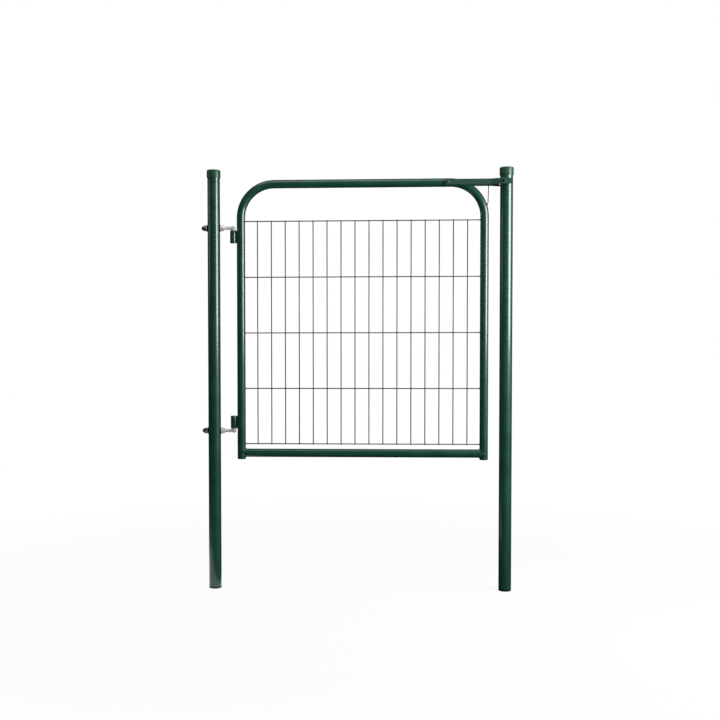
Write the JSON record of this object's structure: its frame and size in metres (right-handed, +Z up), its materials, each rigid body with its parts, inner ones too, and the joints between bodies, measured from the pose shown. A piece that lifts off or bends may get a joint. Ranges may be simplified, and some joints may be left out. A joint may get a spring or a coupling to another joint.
{
  "type": "pedestrian garden gate",
  "caption": "Green garden gate: a bent-tube leaf with welded wire mesh, hung on hook hinges between two round posts, with a lift-up fork latch.",
  "frame": {"origin": "centre of the underside of the hinge post's foot plug", "axes": "+X from the hinge post towards the latch post, +Y towards the rear of the gate, +Z up along the posts"},
  "size_m": [1.1142, 0.068, 1.5095],
  "materials": {
    "post_coating": "gloss green powder coat",
    "leaf_coating": "gloss green powder coat",
    "latch_coating": "satin green powder coat",
    "wire_coating": "satin dark green coat",
    "cap_plastic": "matt moulded green",
    "foot_plastic": "matt moulded black",
    "plug_plastic": "matt moulded dark green",
    "saddle_plastic": "matt moulded dark green",
    "zinc_plate": "bright zinc plate",
    "dome_nut_zinc": "dull olive passivated zinc",
    "rest_wire_steel": "drawn wire"
  },
  "bodies": {
    "posts": {"hinge_post": "post_coating", "latch_post": "post_coating", "hinge_post_cap": "cap_plastic", "latch_post_cap": "cap_plastic", "hinge_post_foot": "foot_plastic", "latch_post_foot": "foot_plastic", "lower_hinge_hook": "zinc_plate", "lower_outer_saddle": "saddle_plastic", "lower_inner_saddle": "saddle_plastic", "lower_outer_washer": "zinc_plate", "lower_inner_washer": "zinc_plate", "lower_dome_nut": "dome_nut_zinc", "lower_hex_nut": "zinc_plate", "upper_hinge_hook": "zinc_plate", "upper_outer_saddle": "saddle_plastic", "upper_inner_saddle": "saddle_plastic", "upper_outer_washer": "zinc_plate", "upper_inner_washer": "zinc_plate", "upper_dome_nut": "dome_nut_zinc", "upper_hex_nut": "zinc_plate"},
    "leaf": {"leaf_hoop": "leaf_coating", "bottom_rail": "leaf_coating", "hinge_leg_plug": "plug_plastic", "latch_leg_plug": "plug_plastic", "mesh_panel": "wire_coating", "lower_hinge_barrel": "leaf_coating", "upper_hinge_barrel": "leaf_coating", "latch_pivot": "latch_coating", "latch_rest_wire": "rest_wire_steel"},
    "latch": {"front_latch_bar": "latch_coating", "rear_latch_bar": "latch_coating", "latch_cross_pin": "latch_coating"}
  },
  "joints": [
    {"name": "leaf_swing", "type": "hinge", "parent": "posts", "child": "leaf", "pos_m": [0.07, 0, 0.9], "axis": [0, 0, 1], "range_deg": [-110, 110]},
    {"name": "latch_lift", "type": "hinge", "parent": "leaf", "child": "latch", "pos_m": [0.8365, 0, 1.458], "axis": [0, -1, 0], "range_deg": [0, 170]}
  ]
}
